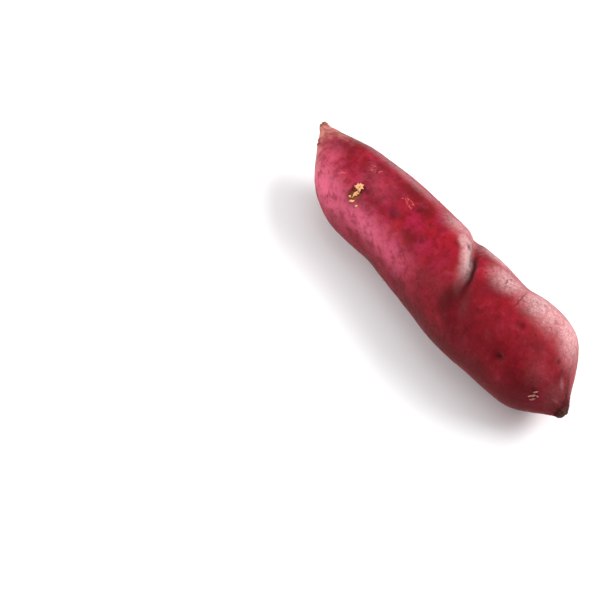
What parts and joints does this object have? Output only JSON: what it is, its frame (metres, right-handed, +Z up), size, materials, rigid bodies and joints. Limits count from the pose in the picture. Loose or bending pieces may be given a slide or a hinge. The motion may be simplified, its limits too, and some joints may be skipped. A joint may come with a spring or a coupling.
{
  "type": "sweet potato",
  "caption": "Whole raw red-skinned sweet potato, a slender tapering root with a slanting fold and a pointed end, lying on its side on a small flat spot.",
  "frame": {"origin": "on the ground, under the middle of the root's box", "axes": "+X along the root from its pointed stalk end to its blunt end, +Z up, and +Y towards the side where the fold starts"},
  "size_m": [0.205, 0.0556, 0.0516],
  "materials": {
    "skin": "thin waxy crimson skin, half dull, with small pits, pale scratches and a torn corky scar"
  },
  "bodies": {
    "root": {"sweet_potato": "skin"}
  },
  "joints": []
}
